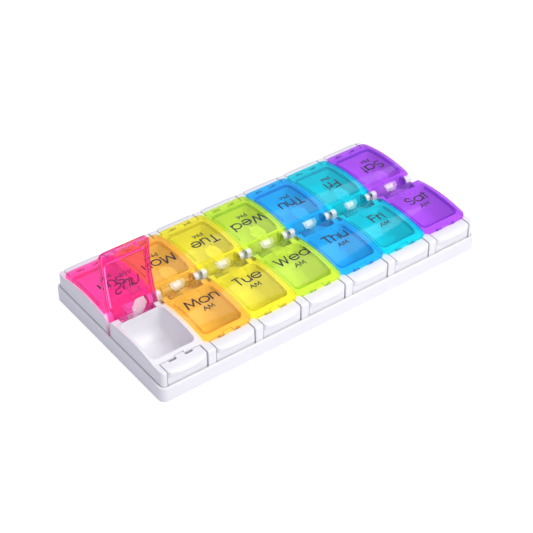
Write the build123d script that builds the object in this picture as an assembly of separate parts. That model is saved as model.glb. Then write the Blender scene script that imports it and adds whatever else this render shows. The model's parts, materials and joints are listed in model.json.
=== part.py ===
"""Weekly pill organizer: two rows of seven cups that stand back to back in a shallow base tray.

Each cup has a see-through lid, hinged at the middle of the organizer, and a push button at its
outer end that rocks on two stub pins and is returned by a leaf spring. The front row is for the
morning and the rear row, the same moulding turned half round, is for the evening.

Millimetres. X runs along the rows from Sunday to Saturday, -Y is the front, +Z is up, and the
origin is the middle of the tray's underside. Every piece is drawn for the front row at its own
bay, and the rear row's pieces are turned half round about Z.
"""
import math
import os

from build123d import *

DAYS = ("sun", "mon", "tue", "wed", "thu", "fri", "sat")
OPEN_AT_REST = ("sun", "am")

# Bays along X
BAY_PITCH = 31.0
RIB_WIDTH = 4.86
END_WALL = 1.8
END_CUP_EXTRA = 1.25

# Depths, from the centre line outwards along Y
CENTRE_GAP = 1.2
TAIL_RADIUS = 3.3
TAIL_CLEARANCE = 0.2
REAR_WALL = 1.0
CUP_LENGTH = 33.25
FRONT_WALL = 1.5
LEDGE_DEPTH = 3.4
COLUMN_DEPTH = 7.8

# Heights
TRAY_FLOOR = 1.6
TRAY_HEIGHT = 9.8
CUP_FLOOR = 1.4
LID_CREST = 24.4
LID_TO_RIM = 2.3
LEDGE_THICKNESS = 1.7
LEDGE_SLOT = 1.3
HINGE_DEPTH = 3.9

# Base tray
TRAY_WALL = 1.4
ROW_CLEARANCE = 0.3
ROW_CORNER = 2.6
TRAY_BOTTOM_ROUND = 1.2
TRAY_RIM_ROUND = 0.5
RAIL_HEIGHT = 5.0
RAIL_CLEARANCE = 0.2

# Cups and ribs
CUP_SCOOP = 8.0
CUP_EDGE = 3.0
COLUMN_BEND = 1.4
RIB_SKIN = 1.5
CORE_TOP = 2.4

# Hinge of the lids
EAR_RADIUS = 1.8
EAR_THICKNESS = 3.1
EAR_CLEARANCE = 0.25
TAIL_INSET = 4.6
PLATE_SETBACK = 0.7
PIN_RADIUS = 1.0
PIN_FIT = 0.05
PIN_END_GAP = 0.2
OPEN_ANGLE = 99.0

# Lids
ARCH_RADIUS = 95.0
ARCH_CREST_DEPTH = 22.8
SHOULDER_DEPTH = 9.0
LID_THICKNESS = 1.5
LID_SEAM = 0.4
LIP_OVERHANG = 2.0
LID_CORNER = 3.5
TAIL_WRAP = 30.0
TAIL_CHEEK = 1.2
BORDER_WIDTH = 1.2
BORDER_DROP = 0.5
SKIRT_WIDTH = 0.9
SKIRT_DROP = 1.2
SKIRT_GAP = 0.25
SKIRT_START = 4.0
CATCH_OFFSET = 6.0
CATCH_WIDTH = 1.6
CATCH_THICKNESS = 1.0
CATCH_LENGTH = 2.4
CATCH_GAP = 0.2
WINDOW_WIDTH = 9.8
WINDOW_NECK = 5.4
WINDOW_CHAMFER = 2.6
WINDOW_TOP = 3.4
WINDOW_END = 2.2

# Push buttons
BUTTON_SIDE_GAP = 0.7
BUTTON_REAR_GAP = 0.5
BUTTON_SINK = 0.2
BUTTON_THICKNESS = 2.2
BUTTON_NOSE = 2.0
BUTTON_NOSE_DROP = 2.0
BUTTON_UNDERCUT = 2.6
BUTTON_BOW = 1.6
BUTTON_CORNER = 2.4
BUTTON_RECESS = 0.5
BUTTON_WALL = 1.5
BUTTON_FLOOR_GAP = 2.0
NOTCH_START = 2.7
NOTCH_WIDTH = 4.8
NOTCH_DEPTH = 1.3
TONGUE_GAP = 0.3
PIVOT_SETBACK = 1.2
PIVOT_DROP = 6.4
PIVOT_BOSS = 2.3
PIVOT_CHEEK = 1.5
PIVOT_PIN = 1.1
PIVOT_SOCKET = 1.1

# Leaf springs
SPRING_THICKNESS = 0.3
SPRING_HEIGHT = 4.0
SPRING_SPAN = 19.0
SPRING_SEAT_GAP = 0.1
SPRING_RAISE = 3.0

# Places worked out from the sizes above
HINGE_Y = -(CENTRE_GAP / 2 + TAIL_RADIUS)
REAR_FACE = HINGE_Y - TAIL_RADIUS - TAIL_CLEARANCE
CUP_REAR = REAR_FACE - REAR_WALL
CUP_FRONT = CUP_REAR - CUP_LENGTH
LEDGE_FRONT = CUP_FRONT - LEDGE_DEPTH
ROW_FRONT = LEDGE_FRONT - COLUMN_DEPTH
ROW_REAR = HINGE_Y + EAR_RADIUS
CUP_HALF = (BAY_PITCH - RIB_WIDTH) / 2
ROW_HALF = BAY_PITCH * len(DAYS) / 2 - RIB_WIDTH / 2 + END_CUP_EXTRA + END_WALL
TRAY_HALF_X = ROW_HALF + ROW_CLEARANCE + TRAY_WALL
TRAY_HALF_Y = -ROW_FRONT + ROW_CLEARANCE + TRAY_WALL
ARCH_CENTRE = Vector(-ARCH_CREST_DEPTH, LID_CREST - ARCH_RADIUS)


def arch_height(y, drop=0.0):
    """Height at y of the lids' arched top, or of the arch that lies drop under it."""
    return ARCH_CENTRE.Y + math.sqrt((ARCH_RADIUS - drop) ** 2 - (y - ARCH_CENTRE.X) ** 2)


HINGE_Z = arch_height(HINGE_Y) - HINGE_DEPTH
HINGE = Vector(HINGE_Y, HINGE_Z)
LEDGE_TOP = arch_height(LEDGE_FRONT, LID_TO_RIM)
CUP_BOTTOM = TRAY_FLOOR + CUP_FLOOR
EAR_INNER = BAY_PITCH / 2 - TAIL_INSET + EAR_CLEARANCE
EAR_OUTER = EAR_INNER + EAR_THICKNESS
TAIL_HALF = BAY_PITCH / 2 - TAIL_INSET
LID_HALF = (BAY_PITCH - LID_SEAM) / 2
LIP_Y = LEDGE_FRONT - LIP_OVERHANG
BUTTON_REAR = LEDGE_FRONT - BUTTON_REAR_GAP
BUTTON_FRONT = ROW_FRONT - BUTTON_NOSE
BUTTON_FACE = ROW_FRONT + BUTTON_RECESS
BUTTON_TOP = LEDGE_TOP - BUTTON_SINK
PIVOT = Vector(BUTTON_REAR - PIVOT_SETBACK, LEDGE_TOP - PIVOT_DROP)

# Cutters and blanks run past the part by this much
OVERRUN = 1.0
TOP = 2 * LID_CREST
BELOW = -OVERRUN


def bay_x(index):
    """Middle of a bay along X."""
    return (index - (len(DAYS) - 1) / 2) * BAY_PITCH


def bay_sides(index, inset=0.0):
    """Left and right faces of a bay's cup, measured from the bay's middle, and set in by inset."""
    left = CUP_HALF + (END_CUP_EXTRA if index == 0 else 0.0)
    right = CUP_HALF + (END_CUP_EXTRA if index == len(DAYS) - 1 else 0.0)
    return -left + inset, right - inset


def angle_of(centre, point):
    """Angle in degrees of a point of the Y-Z plane seen from a centre."""
    return math.degrees(math.atan2(point.Y - centre.Y, point.X - centre.X))


def arc_between(centre, radius, start, end):
    """Arc about a centre from one angle to another, in degrees."""
    return CenterArc((centre.X, centre.Y), radius, start, end - start)


def side_prism(edges, left, right):
    """Solid of a side outline between two places along X."""
    face = make_face([Plane.YZ * edge for edge in edges])
    return Pos(left, 0, 0) * extrude(face, right - left, dir=(1, 0, 0))


def side_block(points, left, right):
    """Solid of a side outline of straight lines, given as (y, z) points."""
    return side_prism([Polyline(*points, close=True)], left, right)


def block(x0, x1, y0, y1, z0, z1):
    """Box between two corners."""
    return Pos((x0 + x1) / 2, (y0 + y1) / 2, (z0 + z1) / 2) * Box(x1 - x0, y1 - y0, z1 - z0)


def round_front(prism, radius):
    """Round the two upright edges at the front of a prism."""
    return fillet(prism.edges().filter_by(Axis.Z).group_by(Axis.Y)[0], radius)


def x_cylinder(centre, radius, x0, x1):
    """Round bar along X about a centre of the Y-Z plane."""
    place = Pos((x0 + x1) / 2, centre.X, centre.Y) * Rot(0, 90, 0)
    return place * Cylinder(radius, x1 - x0)


def rounded_plate(half_x, half_y, corner, z0, z1):
    """Upright prism with rounded corners, centred on the origin in plan."""
    return Pos(0, 0, z0) * extrude(RectangleRounded(2 * half_x, 2 * half_y, corner), z1 - z0)


def base_tray():
    """Shallow tray with a rim round both rows and a rail that keeps the rows apart."""
    corner = ROW_CORNER + ROW_CLEARANCE
    tray = rounded_plate(TRAY_HALF_X, TRAY_HALF_Y, corner + TRAY_WALL, 0, TRAY_HEIGHT)
    tray = fillet(tray.faces().sort_by(Axis.Z)[0].edges(), TRAY_BOTTOM_ROUND)
    tray = fillet(tray.faces().sort_by(Axis.Z)[-1].edges(), TRAY_RIM_ROUND)
    tray -= rounded_plate(
        TRAY_HALF_X - TRAY_WALL, TRAY_HALF_Y - TRAY_WALL, corner, TRAY_FLOOR, TRAY_HEIGHT + OVERRUN
    )
    rail = -ROW_REAR - RAIL_CLEARANCE
    return tray + block(-ROW_HALF, ROW_HALF, -rail, rail, TRAY_FLOOR, TRAY_FLOOR + RAIL_HEIGHT)


def row_block():
    """The row before its cups are sunk: arched rims, flat columns and the hinge ears' outline."""
    rim = ARCH_RADIUS - LID_TO_RIM
    ledge_end = Vector(LEDGE_FRONT, LEDGE_TOP)
    rear_end = Vector(REAR_FACE, arch_height(REAR_FACE, LID_TO_RIM))
    bend = Vector(ROW_FRONT + COLUMN_BEND, LEDGE_TOP - COLUMN_BEND)
    ear_top = HINGE_Z + EAR_RADIUS
    edges = [
        Polyline((ROW_REAR, HINGE_Z), (ROW_REAR, TRAY_FLOOR), (ROW_FRONT, TRAY_FLOOR), (ROW_FRONT, bend.Y)),
        arc_between(bend, COLUMN_BEND, 180, 90),
        Line((bend.X, LEDGE_TOP), (ledge_end.X, ledge_end.Y)),
        arc_between(ARCH_CENTRE, rim, angle_of(ARCH_CENTRE, ledge_end), angle_of(ARCH_CENTRE, rear_end)),
        Polyline((rear_end.X, rear_end.Y), (REAR_FACE, ear_top), (HINGE_Y, ear_top)),
        arc_between(HINGE, EAR_RADIUS, 90, 0),
    ]
    row = side_prism(edges, -ROW_HALF, ROW_HALF)
    middle = (ROW_FRONT + ROW_REAR) / 2
    plan = Pos(0, middle, 0) * RectangleRounded(2 * ROW_HALF, ROW_REAR - ROW_FRONT, ROW_CORNER)
    square_rear = block(-ROW_HALF, ROW_HALF, REAR_FACE, ROW_REAR, BELOW, TOP)
    return row & (extrude(plan, TOP) + square_rear)


def cup_hollow(index):
    """Inside of one cup: scooped at both ends, with rounded corners all round."""
    left, right = bay_sides(index)
    x0, x1 = bay_x(index) + left, bay_x(index) + right
    low = CUP_BOTTOM + CUP_SCOOP
    edges = [
        Polyline((CUP_FRONT, low), (CUP_FRONT, TOP), (CUP_REAR, TOP), (CUP_REAR, low)),
        arc_between(Vector(CUP_REAR - CUP_SCOOP, low), CUP_SCOOP, 0, -90),
        Line((CUP_REAR - CUP_SCOOP, CUP_BOTTOM), (CUP_FRONT + CUP_SCOOP, CUP_BOTTOM)),
        arc_between(Vector(CUP_FRONT + CUP_SCOOP, low), CUP_SCOOP, -90, -180),
    ]
    hollow = side_prism(edges, x0, x1)
    ends = hollow.faces().filter_by(Axis.X).edges()
    return fillet(ends.filter_by(lambda edge: edge.center().Z < LID_CREST), CUP_EDGE)


def button_pocket(index):
    """Room for a button between two columns, undercut below the ledge, which its tongue notches."""
    wall = CUP_FRONT - FRONT_WALL
    under = LEDGE_TOP - LEDGE_THICKNESS
    out = ROW_FRONT - OVERRUN
    points = [
        (wall, BELOW), (wall, under), (LEDGE_FRONT, under),
        (LEDGE_FRONT, TOP), (out, TOP), (out, BELOW),
    ]
    x, half = bay_x(index), NOTCH_START + TONGUE_GAP
    slot = block(x - half, x + half, LEDGE_FRONT - OVERRUN, LEDGE_FRONT + LEDGE_SLOT, under, TOP)
    return side_block(points, x - CUP_HALF, x + CUP_HALF) + slot


def pivot_sockets(index):
    """Blind holes in the two columns for a button's stub pins."""
    reach = CUP_HALF + PIVOT_SOCKET
    return x_cylinder(PIVOT, PIVOT_PIN + PIN_FIT, bay_x(index) - reach, bay_x(index) + reach)


def rib_core(x):
    """Slot under a rib that leaves two skins, as a moulding has."""
    half = RIB_WIDTH / 2 - RIB_SKIN
    front = ROW_FRONT + RIB_SKIN
    return block(x - half, x + half, front, CUP_REAR - RIB_SKIN, BELOW, LEDGE_TOP - CORE_TOP)


def cup_row():
    """One moulding of seven cups, drawn as the front row."""
    row = row_block()
    between = [
        block(bay_x(i) - EAR_INNER, bay_x(i) + EAR_INNER, REAR_FACE, OVERRUN, BELOW, TOP)
        for i in range(len(DAYS))
    ]
    ribs = [bay_x(i) + BAY_PITCH / 2 for i in range(len(DAYS) - 1)]
    split = BAY_PITCH / 2 - EAR_OUTER
    gaps = [block(x - split, x + split, REAR_FACE, OVERRUN, BELOW, TOP) for x in ribs]
    cuts = between + gaps + [rib_core(x) for x in ribs]
    for i in range(len(DAYS)):
        cuts += [cup_hollow(i), button_pocket(i), pivot_sockets(i)]
    holes = [
        x_cylinder(HINGE, PIN_RADIUS + PIN_FIT, bay_x(i) - EAR_OUTER, bay_x(i) + EAR_OUTER)
        for i in range(len(DAYS))
    ]
    return row - cuts - holes


def shoulder():
    """Centre, radius and two angles of the arc that joins the lid's arch to its round tail."""
    start = Vector(-SHOULDER_DEPTH, arch_height(-SHOULDER_DEPTH))
    normal = (start - ARCH_CENTRE).normalized()
    reach = start - HINGE
    radius = (reach.dot(reach) - TAIL_RADIUS**2) / (2 * (reach.dot(normal) - TAIL_RADIUS))
    centre = start - normal * radius
    return centre, radius, angle_of(centre, start), angle_of(centre, HINGE)


def lid_edges(drop, lip_y, end_angle=-TAIL_WRAP):
    """Arcs of the lid's outline at a depth under its outer surface, from the lip to the tail."""
    centre, radius, first, last = shoulder()
    lip = Vector(lip_y, arch_height(lip_y, drop))
    return [
        arc_between(ARCH_CENTRE, ARCH_RADIUS - drop, angle_of(ARCH_CENTRE, lip), first),
        arc_between(centre, radius - drop, first, last),
        arc_between(HINGE, TAIL_RADIUS - drop, last, end_angle),
    ]


def lid_shell(outer, inner, left, right):
    """Curved layer of the lid between two depths, as a solid between two places along X."""
    top, low = lid_edges(outer, LIP_Y), lid_edges(inner, LIP_Y)
    ends = [Line(top[0] @ 0, low[0] @ 0), Line(top[-1] @ 1, low[-1] @ 1)]
    return side_prism(top + low + ends, left, right)


def band(y0, y1, outer, inner, left, right):
    """Part of the arch between two depths under the lid's top and two places along Y and X."""
    def edge(drop):
        ends = [Vector(y, arch_height(y, drop)) for y in (y0, y1)]
        return arc_between(ARCH_CENTRE, ARCH_RADIUS - drop, *[angle_of(ARCH_CENTRE, p) for p in ends])
    top, low = edge(outer), edge(inner)
    return side_prism([top, low, Line(top @ 0, low @ 0), Line(top @ 1, low @ 1)], left, right)


def lid_plan():
    """Plan of the lid: rounded corners at the lip, and a tail set in between the hinge ears."""
    plate = round_front(block(-LID_HALF, LID_HALF, LIP_Y, HINGE_Y - PLATE_SETBACK, BELOW, TOP), LID_CORNER)
    return plate + block(-TAIL_HALF, TAIL_HALF, HINGE_Y - TAIL_RADIUS, 0, BELOW, TOP)


def lid_window():
    """Cutter for the six-sided window in the lid's tail, square to the tail's slope."""
    half, neck = WINDOW_WIDTH / 2, WINDOW_NECK / 2
    top, end = WINDOW_TOP, -WINDOW_END
    points = [
        (-neck, top), (neck, top), (half, top - WINDOW_CHAMFER),
        (half, end), (-half, end), (-half, top - WINDOW_CHAMFER),
    ]
    slope = Plane(origin=(0, HINGE_Y, HINGE_Z), x_dir=(1, 0, 0), z_dir=(0, 1, 1))
    return extrude(slope * make_face(Polyline(*points, close=True)), 2 * TAIL_RADIUS)


def lid_skirt(index):
    """Low rib under the lid that drops into the cup's mouth along its front and two sides."""
    left, right = bay_sides(index, SKIRT_GAP)
    front, rear = CUP_FRONT + SKIRT_GAP, CUP_REAR - SKIRT_START
    corner = CUP_EDGE - SKIRT_GAP
    outside = round_front(block(left, right, front, rear, BELOW, TOP), corner)
    inside = round_front(
        block(left + SKIRT_WIDTH, right - SKIRT_WIDTH, front + SKIRT_WIDTH, rear, BELOW, TOP),
        corner - SKIRT_WIDTH,
    )
    layer = band(front, rear, LID_THICKNESS / 2, LID_TO_RIM + SKIRT_DROP, left, right)
    return layer & (outside - inside)


def lid(index):
    """One lid, drawn closed, with its border, skirt, catches and hinge pins."""
    body = lid_shell(0, LID_THICKNESS, -LID_HALF, LID_HALF) & lid_plan()
    body -= lid_window()
    rear = CUP_REAR
    for side in (-1, 1):
        edge = sorted((side * LID_HALF, side * (LID_HALF - BORDER_WIDTH)))
        body += band(
            LEDGE_FRONT, rear, LID_THICKNESS / 2, LID_THICKNESS + BORDER_DROP, *edge
        )
        cheek = sorted((side * TAIL_HALF, side * (TAIL_HALF - TAIL_CHEEK)))
        body += x_cylinder(HINGE, (TAIL_RADIUS + EAR_RADIUS) / 2, *cheek)
        pin = sorted((side * TAIL_HALF, side * (TAIL_HALF + EAR_CLEARANCE + EAR_THICKNESS - PIN_END_GAP)))
        body += x_cylinder(HINGE, PIN_RADIUS, *pin)
        rear_of_catch = LEDGE_FRONT - CATCH_GAP
        middle = side * CATCH_OFFSET
        body += block(
            middle - CATCH_WIDTH / 2, middle + CATCH_WIDTH / 2,
            rear_of_catch - CATCH_THICKNESS, rear_of_catch,
            LEDGE_TOP - CATCH_LENGTH, arch_height(rear_of_catch, LID_THICKNESS / 2),
        )
    return body + lid_skirt(index)


def button_plan(left, right):
    """Plan of a button's plate with a bowed front edge and rounded front corners."""
    side = BUTTON_FRONT + BUTTON_BOW
    face = make_face([
        Polyline((left, side), (left, BUTTON_REAR), (right, BUTTON_REAR), (right, side)),
        ThreePointArc((right, side), ((left + right) / 2, BUTTON_FRONT), (left, side)),
    ])
    front = face.vertices().group_by(Axis.Y)[0]
    return fillet(front, BUTTON_CORNER)


def button():
    """One push button: a plate with a soft nose over its face, on two cheeks with stub pins."""
    left, right = BUTTON_SIDE_GAP - CUP_HALF, CUP_HALF - BUTTON_SIDE_GAP
    under = BUTTON_TOP - BUTTON_THICKNESS
    nose_top = BUTTON_TOP - BUTTON_NOSE_DROP
    nose_low = nose_top - BUTTON_UNDERCUT
    flat_end = BUTTON_FACE + BUTTON_WALL
    plate = side_prism([
        Line((BUTTON_REAR, BUTTON_TOP), (flat_end, BUTTON_TOP)),
        TangentArc((flat_end, BUTTON_TOP), (BUTTON_FRONT, nose_top), tangent=(-1, 0)),
        Spline((BUTTON_FRONT, nose_top), (BUTTON_FACE, nose_low), tangents=[(0, -1), (0, -1)]),
        Polyline(
            (BUTTON_FACE, nose_low), (flat_end, nose_low), (flat_end, under),
            (BUTTON_REAR, under), (BUTTON_REAR, BUTTON_TOP),
        ),
    ], left, right)
    plate = plate & extrude(button_plan(left, right), TOP)
    low = TRAY_FLOOR + BUTTON_FLOOR_GAP
    body = plate + block(left, right, BUTTON_FACE, flat_end, low, under)
    tip = LEDGE_FRONT + LEDGE_SLOT - TONGUE_GAP
    body += block(-NOTCH_START, NOTCH_START, BUTTON_REAR - NOTCH_DEPTH, tip, under, BUTTON_TOP)
    for side in (-1, 1):
        notch = sorted((side * NOTCH_START, side * (NOTCH_START + NOTCH_WIDTH)))
        body -= block(*notch, BUTTON_REAR - NOTCH_DEPTH, BUTTON_REAR + OVERRUN, BELOW, TOP)
    for x, inward in ((left, 1), (right, -1)):
        cheek = sorted((x, x + inward * PIVOT_CHEEK))
        body += block(*cheek, BUTTON_FACE, PIVOT.X + PIVOT_BOSS, PIVOT.Y, under)
        body += block(*cheek, BUTTON_FACE, PIVOT.X, PIVOT.Y - PIVOT_BOSS, PIVOT.Y)
        body += x_cylinder(PIVOT, PIVOT_BOSS, *cheek)
        pin = sorted((x, x - inward * (BUTTON_SIDE_GAP + PIVOT_SOCKET - PIN_END_GAP)))
        body += x_cylinder(PIVOT, PIVOT_PIN, *pin)
    return body


def leaf_spring():
    """Bowed strip between the cup's front wall and the back of a button's face."""
    rear = CUP_FRONT - FRONT_WALL - SPRING_SEAT_GAP
    front = BUTTON_FACE + BUTTON_WALL + SPRING_SEAT_GAP
    half = SPRING_SPAN / 2
    inner = front + SPRING_THICKNESS
    bow = rear - inner
    radius = (half**2 + bow**2) / (2 * bow)
    centre = (0, inner + radius)
    start = math.degrees(math.atan2(bow - radius, half))
    arcs = [
        CenterArc(centre, radius, start, -180 - 2 * start),
        CenterArc(centre, radius + SPRING_THICKNESS, start, -180 - 2 * start),
    ]
    ends = [Line(arcs[0] @ 0, arcs[1] @ 0), Line(arcs[0] @ 1, arcs[1] @ 1)]
    low = TRAY_FLOOR + SPRING_RAISE
    return Pos(0, 0, low) * extrude(make_face(arcs + ends), SPRING_HEIGHT)


def place(piece, index, half):
    """Move a piece to its bay, and turn it half round for the rear row."""
    turned = Rot(0, 0, 180) if half == "pm" else Pos(0, 0, 0)
    return turned * Pos(bay_x(index), 0, 0) * piece


def open_lid(piece):
    """Swing a lid open about its hinge."""
    there = Pos(0, HINGE_Y, HINGE_Z)
    return there * Rot(-OPEN_ANGLE, 0, 0) * there.inverse() * piece


def save(piece, name):
    """Write one sub-part."""
    export_step(piece, f"parts/{name}.step")


def main():
    os.makedirs("parts", exist_ok=True)
    save(base_tray(), "base_tray")
    row = cup_row()
    save(row, "cup_row_am")
    save(Rot(0, 0, 180) * row, "cup_row_pm")
    push = button()
    spring = leaf_spring()
    for half in ("am", "pm"):
        for day_index, day in enumerate(DAYS):
            index = day_index if half == "am" else len(DAYS) - 1 - day_index
            cover = lid(index)
            if (day, half) == OPEN_AT_REST:
                cover = open_lid(cover)
            save(place(cover, index, half), f"lid_{day}_{half}")
            save(place(push, index, half), f"button_{day}_{half}")
            save(place(spring, index, half), f"button_spring_{day}_{half}")


main()
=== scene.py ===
"""Looks of the weekly pill organizer: plastics, legends, lifting leaves, springs, floor, light and camera.

Lengths are in metres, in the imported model's own frame: +X along the rows from Sunday to
Saturday, -Y the morning row's side, +Z up. Named lengths in millimetres say so.
"""
import json
import math

import bmesh
import bpy
from mathutils import Matrix, Vector
from mathutils.geometry import interpolate_bezier


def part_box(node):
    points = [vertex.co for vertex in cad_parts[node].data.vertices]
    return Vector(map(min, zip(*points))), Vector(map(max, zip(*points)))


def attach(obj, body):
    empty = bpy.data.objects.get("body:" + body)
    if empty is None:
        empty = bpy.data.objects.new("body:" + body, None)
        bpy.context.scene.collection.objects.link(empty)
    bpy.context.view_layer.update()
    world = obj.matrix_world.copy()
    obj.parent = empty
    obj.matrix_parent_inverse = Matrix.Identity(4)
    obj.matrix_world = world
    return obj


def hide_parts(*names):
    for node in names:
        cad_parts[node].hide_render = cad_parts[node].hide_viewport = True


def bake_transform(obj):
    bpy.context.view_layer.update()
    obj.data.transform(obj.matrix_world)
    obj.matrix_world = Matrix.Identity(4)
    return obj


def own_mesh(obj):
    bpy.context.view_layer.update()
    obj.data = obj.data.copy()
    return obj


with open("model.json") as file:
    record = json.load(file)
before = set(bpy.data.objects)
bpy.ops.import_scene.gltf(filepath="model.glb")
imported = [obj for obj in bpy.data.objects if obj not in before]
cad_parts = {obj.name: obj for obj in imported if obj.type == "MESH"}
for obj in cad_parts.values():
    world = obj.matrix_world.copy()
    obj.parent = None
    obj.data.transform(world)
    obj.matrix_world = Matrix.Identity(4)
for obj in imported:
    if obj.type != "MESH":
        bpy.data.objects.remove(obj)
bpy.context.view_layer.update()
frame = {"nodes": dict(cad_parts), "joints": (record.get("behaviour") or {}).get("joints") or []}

MM = 0.001
DAYS = ("sun", "mon", "tue", "wed", "thu", "fri", "sat")
HALVES = ("am", "pm")
JOINTS = {joint["name"]: joint for joint in frame["joints"]}
CLOSED_LID = "lid_mon_am"
OPEN_LID_JOINT = "lid_sun_am_hinge"

# Lid tints: the colour of what is seen through one thickness of lid
TINTS = {
    "sun": (0.99, 0.23, 0.60),
    "mon": (0.93, 0.64, 0.17),
    "tue": (0.86, 0.81, 0.12),
    "wed": (0.68, 0.84, 0.16),
    "thu": (0.06, 0.57, 0.90),
    "fri": (0.02, 0.70, 0.80),
    "sat": (0.57, 0.22, 0.87),
}
LID_CLEARNESS = 0.93
LID_ROUGHNESS = (0.02, 0.05)
# The lifting leaves: a milky, see-through white
LEAF_TINT = (0.97, 0.96, 0.98)
LEAF_CLEARNESS = 0.68
LEAF_ROUGHNESS = (0.2, 0.3)
# Clear plastic: how much its tint deepens with each millimetre, and the share of the tint
# that each surface gives to a lamp's light
DEEPENING = 0.02
SHADE_SHARE = 0.25
CLEAR_IOR = 1.08
COAT_WEIGHT = 0.4
COAT_IOR = 1.5
CLEAR_GLOSS_NOISE = (90.0, 5.0)
FLOW_NOISE = (420.0, 3.0)

# Uneven finishes: two ends of colour and of roughness. A noise is its cells per metre and its detail.
WHITE_PLASTIC = {
    "colours": ((0.862, 0.859, 0.882), (0.885, 0.882, 0.902)), "colour_noise": (45.0, 5.0),
    "roughness": (0.30, 0.44), "roughness_noise": (160.0, 6.0),
}
STEEL = {
    "colours": ((0.52, 0.52, 0.54), (0.66, 0.66, 0.68)), "colour_noise": (900.0, 3.0),
    "roughness": (0.2, 0.34), "roughness_noise": (700.0, 4.0),
}
INK = {
    "colours": ((0.012, 0.008, 0.02), (0.03, 0.022, 0.045)), "colour_noise": (1500.0, 3.0),
    "roughness": (0.45, 0.6), "roughness_noise": (1200.0, 3.0),
}
WHITE_IOR = 1.49
NOISE_ROUGHNESS = 0.55
NOISE_SPAN = (0.3, 0.7)

# Relief in the shading, in millimetres
EDGE_ROUNDING = 0.35
EDGE_SAMPLES = 6
GRAIN_NOISE = (2600.0, 3.0)
RELIEF_STRENGTH = 0.05
RELIEF_DEPTH = 0.02

# Camera, fitted to the photograph: angles in degrees
CAMERA_AZIMUTH = -36.685
CAMERA_ELEVATION = 38.690
CAMERA_ROLL = -0.176
CAMERA_DISTANCE = 0.83555
CAMERA_AIM = (0.002037, -0.003457)
CAMERA_NEAR = 0.01
FOCAL_PIXELS = 1439.51
FRAME_PIXELS = 533
SENSOR_MM = 36.0

# Light: each lamp's name, place, size and watts
ROOM_COLOUR = (0.87, 0.87, 1.0)
ROOM_STRENGTH = 0.57
LAMP_COLOUR = (1.0, 0.99, 0.96)
LAMPS = (
    ("main_lamp", (0.06, -0.46, 0.50), 0.44, 2.75),
    ("top_lamp", (0.0, 0.0, 1.2), 0.8, 0.8),
    ("back_lamp", (0.41, 0.43, 0.68), 0.30, 0.6),
)
FLOOR_SIZE = 6.0
FLOOR_CELLS = 8
FLOOR_COLOUR = (0.8, 0.8, 0.82)
FLOOR_ROUGHNESS = 0.9
FLOOR_GLOW = 0.6

# The lids' arch, shoulder and round tail in the Y-Z plane, in millimetres from the organizer's middle line
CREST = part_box(CLOSED_LID)[1].z / MM
ARCH_RADIUS = 95.0
ARCH_CREST_DEPTH = 22.8
SHOULDER_DEPTH = 9.0
TAIL_RADIUS = 3.3

# Legends, in millimetres on the lid from its bay's middle line and from the organizer's
CAP_HEIGHT = 6.5
DAY_BASE = -23.6
DAY_STROKE = 0.98
SMALL_CAP_HEIGHT = 2.9
SMALL_BASE = -29.2
SMALL_STROKE = 0.56
INK_LIFT = 0.02
INK_HEIGHT = 0.03
INK_STEP = 0.8
# A stroke's section, as shares of its half-width and of the ink's height, and its rounded
# end, as shares of its half-width along and across
INK_SECTION = ((1.0, 0.0), (0.8, 1.0), (-0.8, 1.0), (-1.0, 0.0))
INK_END = ((0.95, 0.3), (0.7, 0.71), (0.35, 0.94))

# Leaves that lift the lids, in millimetres from the lid's bay and the organizer's middle line
LEAF_THICKNESS = 0.35
LEAF_STATIONS = 24
LEAF_UNDER_LID = 1.75
LEAF_CURL = -60.0
LEAF_TIP_DEPTH = 17.5
LEAF_WIDEST_DEPTH = 11.5
LEAF_NECK_HALF = 2.3
LEAF_WIDEST_HALF = 4.7
LEAF_TIP_HALF = 2.6
# The upright leaf at the open lid: a Bezier line of (y, z), and the heights of its neck and widest
# place
OPEN_LEAF = ((-4.6, 17.3), (-5.6, 20.5), (-7.9, 26.0), (-7.9, 33.0))
OPEN_LEAF_NECK = 17.3
OPEN_LEAF_WIDEST = 27.4


def material(name):
    """A new node material, its nodes and links, and its principled shader."""
    mat = bpy.data.materials.new(name)
    mat.use_nodes = True
    return mat, mat.node_tree.nodes, mat.node_tree.links, mat.node_tree.nodes["Principled BSDF"]


def noise(nodes, links, scale, detail):
    """Noise laid out in object space, in cells per metre."""
    place = nodes.new("ShaderNodeTexCoord")
    texture = nodes.new("ShaderNodeTexNoise")
    texture.inputs["Scale"].default_value = scale
    texture.inputs["Detail"].default_value = detail
    texture.inputs["Roughness"].default_value = NOISE_ROUGHNESS
    links.new(place.outputs["Object"], texture.inputs["Vector"])
    return texture.outputs["Fac"]


def ranged(nodes, links, value, low, high):
    """A noise stretched between two ends."""
    spread = nodes.new("ShaderNodeMapRange")
    spread.inputs["From Min"].default_value, spread.inputs["From Max"].default_value = NOISE_SPAN
    spread.inputs["To Min"].default_value = low
    spread.inputs["To Max"].default_value = high
    links.new(value, spread.inputs["Value"])
    return spread.outputs["Result"]


def between_colours(nodes, links, value, low, high):
    """A colour between two ends."""
    mix = nodes.new("ShaderNodeMix")
    mix.data_type = "RGBA"
    mix.inputs["A"].default_value = (*low, 1)
    mix.inputs["B"].default_value = (*high, 1)
    links.new(value, mix.inputs["Factor"])
    return mix.outputs["Result"]


def uneven(nodes, links, shader, finish):
    """A colour and a roughness that vary a little over the surface."""
    tone = ranged(nodes, links, noise(nodes, links, *finish["colour_noise"]), 0.0, 1.0)
    links.new(between_colours(nodes, links, tone, *finish["colours"]), shader.inputs["Base Color"])
    sheen = ranged(nodes, links, noise(nodes, links, *finish["roughness_noise"]), *finish["roughness"])
    links.new(sheen, shader.inputs["Roughness"])


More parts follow.
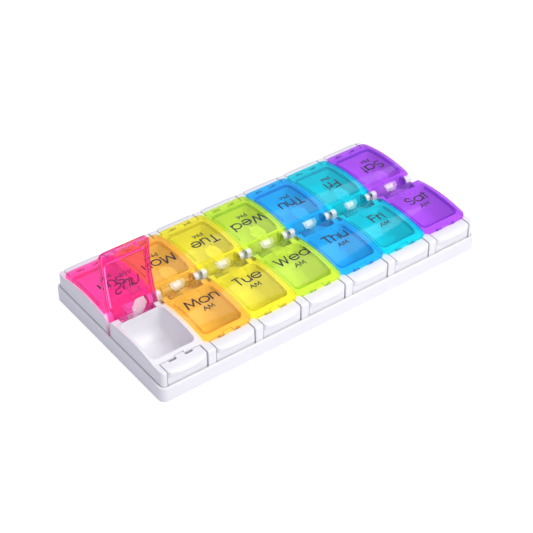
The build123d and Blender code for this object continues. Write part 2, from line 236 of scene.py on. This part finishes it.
def relief(nodes, links, shader, pattern):
    """A very shallow relief in the shading, after a noise."""
    bump = nodes.new("ShaderNodeBump")
    bump.inputs["Strength"].default_value = RELIEF_STRENGTH
    bump.inputs["Distance"].default_value = RELIEF_DEPTH * MM
    links.new(noise(nodes, links, *pattern), bump.inputs["Height"])
    links.new(bump.outputs["Normal"], shader.inputs["Normal"])
    return bump


def white_plastic():
    """White moulded plastic, satin, with softened edges and a fine grain."""
    mat, nodes, links, shader = material("white_plastic_moulded")
    uneven(nodes, links, shader, WHITE_PLASTIC)
    shader.inputs["IOR"].default_value = WHITE_IOR
    edge = nodes.new("ShaderNodeBevel")
    edge.samples = EDGE_SAMPLES
    edge.inputs["Radius"].default_value = EDGE_ROUNDING * MM
    grain = relief(nodes, links, shader, GRAIN_NOISE)
    links.new(edge.outputs["Normal"], grain.inputs["Normal"])
    return mat


def clear_plastic(name, tint, clearness, roughness):
    """Clear tinted plastic with a faint flow texture; lamps shine through it."""
    mat, nodes, links, shader = material(name)
    shader.inputs["Base Color"].default_value = (*tint, 1)
    shader.inputs["Transmission Weight"].default_value = clearness
    shader.inputs["IOR"].default_value = CLEAR_IOR
    shader.inputs["Coat Weight"].default_value = COAT_WEIGHT
    shader.inputs["Coat IOR"].default_value = COAT_IOR
    gloss = ranged(nodes, links, noise(nodes, links, *CLEAR_GLOSS_NOISE), *roughness)
    links.new(gloss, shader.inputs["Roughness"])
    relief(nodes, links, shader, FLOW_NOISE)
    volume = nodes.new("ShaderNodeVolumeAbsorption")
    volume.inputs["Density"].default_value = DEEPENING / MM
    volume.inputs["Color"].default_value = (*tint, 1)
    links.new(volume.outputs["Volume"], nodes["Material Output"].inputs["Volume"])
    clear = nodes.new("ShaderNodeBsdfTransparent")
    clear.inputs["Color"].default_value = (*[t**SHADE_SHARE for t in tint], 1)
    path = nodes.new("ShaderNodeLightPath")
    mix = nodes.new("ShaderNodeMixShader")
    links.new(path.outputs["Is Shadow Ray"], mix.inputs["Fac"])
    links.new(shader.outputs["BSDF"], mix.inputs[1])
    links.new(clear.outputs["BSDF"], mix.inputs[2])
    links.new(mix.outputs["Shader"], nodes["Material Output"].inputs["Surface"])
    return mat


def spring_steel():
    """Bright strip steel with an uneven, drawn look."""
    mat, nodes, links, shader = material("spring_steel_strip")
    shader.inputs["Metallic"].default_value = 1.0
    uneven(nodes, links, shader, STEEL)
    return mat


def ink():
    """Dark printing ink, matt, slightly uneven in cover."""
    mat, nodes, links, shader = material("printed_ink")
    uneven(nodes, links, shader, INK)
    return mat


def dress(node, mat):
    """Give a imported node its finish."""
    for place in frame["nodes"][node].material_slots:
        place.material = mat


def add(name, data):
    """A new object in the scene."""
    piece = bpy.data.objects.new(name, data)
    bpy.context.scene.collection.objects.link(piece)
    return piece


def finished_mesh(bm, name, mat):
    """The mesh that was drawn, in its material."""
    mesh = bpy.data.meshes.new(name)
    bm.to_mesh(mesh)
    bm.free()
    mesh.materials.append(mat)
    return mesh


def skin(bm, rings):
    """Faces that join a row of rings, with a cap at each end."""
    for a, b in zip(rings, rings[1:]):
        for i in range(len(a)):
            j = (i + 1) % len(a)
            bm.faces.new((a[i], a[j], b[j], b[i]))
    bm.faces.new(rings[0])
    bm.faces.new(list(reversed(rings[-1])))


def to_bay(joint, half):
    """From a front bay's own frame to its place in the rows."""
    turned = Matrix.Rotation(math.pi if half == "pm" else 0.0, 4, "Z")
    return Matrix.Translation((joint["pos_m"][0], 0, 0)) @ turned


def arch_height(y):
    """Height of the lids' arched top at y, in millimetres."""
    return CREST - ARCH_RADIUS + math.sqrt(ARCH_RADIUS**2 - (y + ARCH_CREST_DEPTH) ** 2)


def arc(x, y, radius, start, end):
    """Points of an arc, from one angle to another in degrees."""
    count = max(4, round(abs(end - start) / 15))
    angles = [math.radians(start + (end - start) * i / count) for i in range(count + 1)]
    return [(x + radius * math.cos(a), y + radius * math.sin(a)) for a in angles]


# Letters, one unit high: each one's width, and its strokes as rows of points
X_HEIGHT = 0.74
BOWL = X_HEIGHT / 2
BEND = 0.27
BOWL_RING = arc(BOWL, BOWL, BOWL, 0, 360)
BENT_LEG = arc(BEND, X_HEIGHT - BEND, BEND, 180, 0) + [(2 * BEND, 0)]
SPINE = arc(0.27, 0.75, 0.25, 40, 262) + arc(0.26, 0.25, 0.25, 82, -140)
LETTERS = {
    "M": (0.98, [[(0, 0), (0.13, 1)], [(0.13, 1), (0.49, 0.14)], [(0.49, 0.14), (0.85, 1)], [(0.85, 1), (0.98, 0)]]),
    "W": (1.04, [[(0, 1), (0.27, 0)], [(0.27, 0), (0.52, 0.9)], [(0.52, 0.9), (0.77, 0)], [(0.77, 0), (1.04, 1)]]),
    "T": (0.56, [[(0, 1), (0.56, 1)], [(0.28, 1), (0.28, 0)]]),
    "F": (0.48, [[(0, 0), (0, 1)], [(0, 1), (0.48, 1)], [(0, 0.53), (0.44, 0.53)]]),
    "S": (0.53, [SPINE]),
    "A": (0.84, [[(0, 0), (0.42, 1)], [(0.42, 1), (0.84, 0)], [(0.14, 0.34), (0.70, 0.34)]]),
    "P": (0.56, [[(0, 0), (0, 1)], [(0, 1), (0.3, 1)] + arc(0.3, 0.74, 0.26, 90, -90) + [(0, 0.48)]]),
    "a": (X_HEIGHT, [BOWL_RING, [(X_HEIGHT, 0), (X_HEIGHT, X_HEIGHT)]]),
    "d": (X_HEIGHT, [BOWL_RING, [(X_HEIGHT, 0), (X_HEIGHT, 1)]]),
    "e": (X_HEIGHT, [[(0.01, BOWL), (X_HEIGHT, BOWL)] + arc(BOWL, BOWL, BOWL, 0, 318)]),
    "h": (2 * BEND, [[(0, 0), (0, 1)], BENT_LEG]),
    "i": (0.0, [[(0, 0), (0, X_HEIGHT)], [(0, 0.95), (0, 0.97)]]),
    "n": (2 * BEND, [[(0, 0), (0, X_HEIGHT)], BENT_LEG]),
    "o": (X_HEIGHT, [BOWL_RING]),
    "r": (0.26, [[(0, 0), (0, X_HEIGHT)], arc(0.26, X_HEIGHT - 0.28, 0.26, 180, 90)]),
    "t": (0.28, [[(0.12, 0), (0.12, 0.98)], [(0, X_HEIGHT), (0.28, X_HEIGHT)]]),
    "u": (2 * BEND, [[(0, X_HEIGHT)] + arc(BEND, BEND, BEND, 180, 360), [(2 * BEND, 0), (2 * BEND, X_HEIGHT)]]),
}
LETTER_GAP = 0.18
LETTER_WIDTH = 1.16


def split_up(points, step):
    """The same line with no stretch longer than a step."""
    line = [points[0]]
    for start, end in zip(points, points[1:]):
        count = max(1, math.ceil(math.dist(start, end) / step))
        line += [tuple(a + (b - a) * i / count for a, b in zip(start, end)) for i in range(1, count + 1)]
    return line


def ink_line(bm, points, stroke):
    """One stroke of ink that lies on the arch, with rounded ends."""
    half = stroke / 2
    spots = [Vector(p) for p in split_up(points, INK_STEP)]
    ways = [(b - a).normalized() for a, b in zip(spots, spots[1:])]
    along = [ways[0]] + [(a + b).normalized() for a, b in zip(ways, ways[1:])] + [ways[-1]]
    stations = [(spots[0] - along[0] * half * out, along[0], wide) for out, wide in INK_END]
    stations += [(spot, way, 1.0) for spot, way in zip(spots, along)]
    stations += [(spots[-1] + along[-1] * half * out, along[-1], wide) for out, wide in reversed(INK_END)]
    rings = []
    for spot, way, wide in stations:
        side = Vector((-way.y, way.x)) * half * wide
        ring = []
        for across, rise in INK_SECTION:
            x, y = spot + side * across
            z = arch_height(y) + INK_LIFT + INK_HEIGHT * rise
            ring.append(bm.verts.new(Vector((x, y, z)) * MM))
        rings.append(ring)
    skin(bm, rings)


def write(bm, text, height, stroke, base):
    """A line of letters, centred on the bay, on the arch."""
    stretch = height * LETTER_WIDTH
    gap = LETTER_GAP * stretch
    widths = [LETTERS[c][0] * stretch for c in text]
    x = -(sum(widths) + gap * (len(text) - 1)) / 2
    for c, width in zip(text, widths):
        for points in LETTERS[c][1]:
            ink_line(bm, [(x + u * stretch, base + v * height) for u, v in points], stroke)
        x += width + gap


def closed_turn(joint):
    """Turn that takes a lid from closed to where it rests, about its hinge."""
    hinge = Matrix.Translation(Vector(joint["pos_m"]))
    angle = -math.radians(joint["range_deg"][0]) if joint["name"] == OPEN_LID_JOINT else 0.0
    return hinge @ Matrix.Rotation(angle, 4, Vector(joint["axis"])) @ hinge.inverted()


def legend(day, half, mat):
    """The weekday and the half of the day, printed on top of a lid."""
    name = f"legend_{day}_{half}"
    bm = bmesh.new()
    write(bm, day.capitalize(), CAP_HEIGHT, DAY_STROKE, DAY_BASE)
    write(bm, half.upper(), SMALL_CAP_HEIGHT, SMALL_STROKE, SMALL_BASE)
    bmesh.ops.recalc_face_normals(bm, faces=bm.faces)
    mesh = finished_mesh(bm, name, mat)
    joint = JOINTS[f"lid_{day}_{half}_hinge"]
    mesh.transform(closed_turn(joint) @ to_bay(joint, half))
    for face in mesh.polygons:
        face.use_smooth = False
    piece = add(name, mesh)
    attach(piece, f"lid_{day}_{half}")


def shoulder_arc(hinge):
    """Centre, radius and two angles of the arc that joins the lids' arch to their round tails."""
    middle = Vector((-ARCH_CREST_DEPTH, CREST - ARCH_RADIUS))
    start = Vector((-SHOULDER_DEPTH, arch_height(-SHOULDER_DEPTH)))
    normal = (start - middle).normalized()
    reach = start - hinge
    radius = (reach.dot(reach) - TAIL_RADIUS**2) / (2 * (reach.dot(normal) - TAIL_RADIUS))
    centre = start - normal * radius
    first, last = [math.atan2(p.y - centre.y, p.x - centre.x) for p in (start, hinge)]
    return centre, radius, first, last


def arc_stations(centre, radius, start, end):
    """Points at even steps on an arc, without its last one."""
    turns = [start + (end - start) * i / LEAF_STATIONS for i in range(LEAF_STATIONS)]
    return [centre + radius * Vector((math.cos(a), math.sin(a))) for a in turns]


def closed_leaf_path(hinge):
    """Points (y, z) of a leaf that curls about the hinge and lies under its closed lid."""
    centre, radius, first, last = shoulder_arc(hinge)
    path = arc_stations(hinge, TAIL_RADIUS - LEAF_UNDER_LID, math.radians(LEAF_CURL), last)
    path += arc_stations(centre, radius - LEAF_UNDER_LID, last, first)
    reach = LEAF_TIP_DEPTH - SHOULDER_DEPTH
    depths = [SHOULDER_DEPTH + reach * i / LEAF_STATIONS for i in range(LEAF_STATIONS + 1)]
    return path + [Vector((-d, arch_height(-d) - LEAF_UNDER_LID)) for d in depths]


def between(value, marks):
    """Value read off a line through marks (place, value)."""
    if value <= marks[0][0]:
        return marks[0][1]
    for (a, low), (b, high) in zip(marks, marks[1:]):
        if value <= b:
            return low + (high - low) * (value - a) / (b - a)
    return marks[-1][1]


def strip(name, path, halves, mat):
    """A thin springy strip along points (y, z), with a half-width at each, drawn at the middle bay."""
    bm = bmesh.new()
    rings = []
    for i, (point, half) in enumerate(zip(path, halves)):
        way = (path[min(i + 1, len(path) - 1)] - path[max(i - 1, 0)]).normalized()
        side = Vector((-way.y, way.x)) * LEAF_THICKNESS / 2
        ring = []
        for x, face in ((-half, 1), (0, 1), (half, 1), (half, -1), (0, -1), (-half, -1)):
            spot = point + side * face
            ring.append(bm.verts.new(Vector((x, spot.x, spot.y)) * MM))
        rings.append(ring)
    skin(bm, rings)
    bmesh.ops.recalc_face_normals(bm, faces=bm.faces)
    return add(name, finished_mesh(bm, name, mat))


def leaf(day, half, mat):
    """The leaf at a lid's hinge: bent under a closed lid, upright at the open one."""
    name = f"leaf_{day}_{half}"
    joint = JOINTS[f"lid_{day}_{half}_hinge"]
    hinge = Vector((-abs(joint["pos_m"][1]), joint["pos_m"][2])) / MM
    place = to_bay(joint, half)
    if joint["name"] == OPEN_LID_JOINT:
        ends = [Vector(p).to_3d() for p in OPEN_LEAF]
        path = [p.to_2d() for p in interpolate_bezier(*ends, 2 * LEAF_STATIONS)]
        marks = (
            (OPEN_LEAF_NECK, LEAF_NECK_HALF), (OPEN_LEAF_WIDEST, LEAF_WIDEST_HALF), (path[-1].y, LEAF_TIP_HALF),
        )
        piece = strip(name, path, [between(p.y, marks) for p in path], mat)
        piece.data.transform(place)
        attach(piece, "base")
        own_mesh(piece)
    else:
        path = closed_leaf_path(hinge)
        marks = (
            (-hinge.x, LEAF_NECK_HALF), (LEAF_WIDEST_DEPTH, LEAF_WIDEST_HALF), (LEAF_TIP_DEPTH, LEAF_TIP_HALF),
        )
        piece = strip(name, path, [between(-p.x, marks) for p in path], mat)
        piece.data.transform(place)
        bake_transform(piece)


def pressed_spring(day, half, mat):
    """A button's leaf spring, as a copy that stays with the base, in place of the imported one."""
    node = f"button_spring_{day}_{half}"
    mesh = frame["nodes"][node].data.copy()
    mesh.materials.clear()
    mesh.materials.append(mat)
    piece = add(f"pressed_{node}", mesh)
    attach(piece, "base")
    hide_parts(node)
    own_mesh(piece)


def seen_straight(nodes, links):
    """One for rays from the camera, also after clear plastic, and nought for all others."""
    path = nodes.new("ShaderNodeLightPath")
    either = nodes.new("ShaderNodeMath")
    either.operation = "MAXIMUM"
    links.new(path.outputs["Is Camera Ray"], either.inputs[0])
    links.new(path.outputs["Is Transmission Ray"], either.inputs[1])
    return either.outputs["Value"]


def floor():
    """A pale floor with a glow for the camera, so that it shows white and keeps the object's shadow."""
    mat, nodes, links, shader = material("floor_white")
    shader.inputs["Base Color"].default_value = (*FLOOR_COLOUR, 1)
    shader.inputs["Roughness"].default_value = FLOOR_ROUGHNESS
    shader.inputs["Specular IOR Level"].default_value = 0.0
    shader.inputs["Emission Color"].default_value = (1, 1, 1, 1)
    glow = nodes.new("ShaderNodeMath")
    glow.operation = "MULTIPLY"
    glow.inputs[1].default_value = FLOOR_GLOW
    links.new(seen_straight(nodes, links), glow.inputs[0])
    links.new(glow.outputs["Value"], shader.inputs["Emission Strength"])
    bm = bmesh.new()
    bmesh.ops.create_grid(bm, x_segments=FLOOR_CELLS, y_segments=FLOOR_CELLS, size=FLOOR_SIZE / 2)
    add("floor", finished_mesh(bm, "floor", mat))


def area_lamp(name, place, size, watts):
    """A square soft lamp that shines at the organizer."""
    lamp = bpy.data.lights.new(name, "AREA")
    lamp.size = size
    lamp.energy = watts
    lamp.color = LAMP_COLOUR
    piece = add(name, lamp)
    piece.location = place
    piece.rotation_euler = (-Vector(place)).to_track_quat("-Z", "Y").to_euler()


def light():
    """A pale room that the camera sees as white, and soft lamps."""
    world = bpy.data.worlds.new("studio")
    bpy.context.scene.world = world
    world.use_nodes = True
    nodes, links = world.node_tree.nodes, world.node_tree.links
    room = nodes["Background"]
    room.inputs["Color"].default_value = (*ROOM_COLOUR, 1)
    room.inputs["Strength"].default_value = ROOM_STRENGTH
    white_room = nodes.new("ShaderNodeBackground")
    white_room.inputs["Color"].default_value = (1, 1, 1, 1)
    white_room.inputs["Strength"].default_value = 1.0
    mix = nodes.new("ShaderNodeMixShader")
    links.new(seen_straight(nodes, links), mix.inputs["Fac"])
    links.new(room.outputs["Background"], mix.inputs[1])
    links.new(white_room.outputs["Background"], mix.inputs[2])
    links.new(mix.outputs["Shader"], nodes["World Output"].inputs["Surface"])
    for name, place, size, watts in LAMPS:
        area_lamp(name, place, size, watts)


def camera():
    """The photograph's own viewpoint."""
    azimuth, elevation = math.radians(CAMERA_AZIMUTH), math.radians(CAMERA_ELEVATION)
    back = Vector((
        math.sin(azimuth) * math.cos(elevation),
        -math.cos(azimuth) * math.cos(elevation),
        math.sin(elevation),
    ))
    level = (-back).cross(Vector((0, 0, 1))).normalized()
    upright = level.cross(-back)
    roll = math.radians(CAMERA_ROLL)
    right = level * math.cos(roll) + upright * math.sin(roll)
    up = upright * math.cos(roll) - level * math.sin(roll)
    place = back * CAMERA_DISTANCE - right * CAMERA_AIM[0] - up * CAMERA_AIM[1]
    data = bpy.data.cameras.new("camera")
    data.sensor_width = SENSOR_MM
    data.lens = SENSOR_MM * FOCAL_PIXELS / FRAME_PIXELS
    data.clip_start = CAMERA_NEAR
    piece = add("camera", data)
    piece.matrix_world = Matrix((
        (right.x, up.x, back.x, place.x),
        (right.y, up.y, back.y, place.y),
        (right.z, up.z, back.z, place.z),
        (0, 0, 0, 1),
    ))
    bpy.context.scene.camera = piece


white = white_plastic()
steel = spring_steel()
print_ink = ink()
milky = clear_plastic("leaf_milky", LEAF_TINT, LEAF_CLEARNESS, LEAF_ROUGHNESS)
for node in ("base_tray", "cup_row_am", "cup_row_pm"):
    dress(node, white)
for day in DAYS:
    tinted = clear_plastic(f"lid_{day}_tinted", TINTS[day], LID_CLEARNESS, LID_ROUGHNESS)
    for half in HALVES:
        dress(f"lid_{day}_{half}", tinted)
        dress(f"button_{day}_{half}", white)
        dress(f"button_spring_{day}_{half}", steel)
        pressed_spring(day, half, steel)
        legend(day, half, print_ink)
        leaf(day, half, milky)

floor()
light()
camera()
bpy.context.scene.view_settings.view_transform = "Standard"
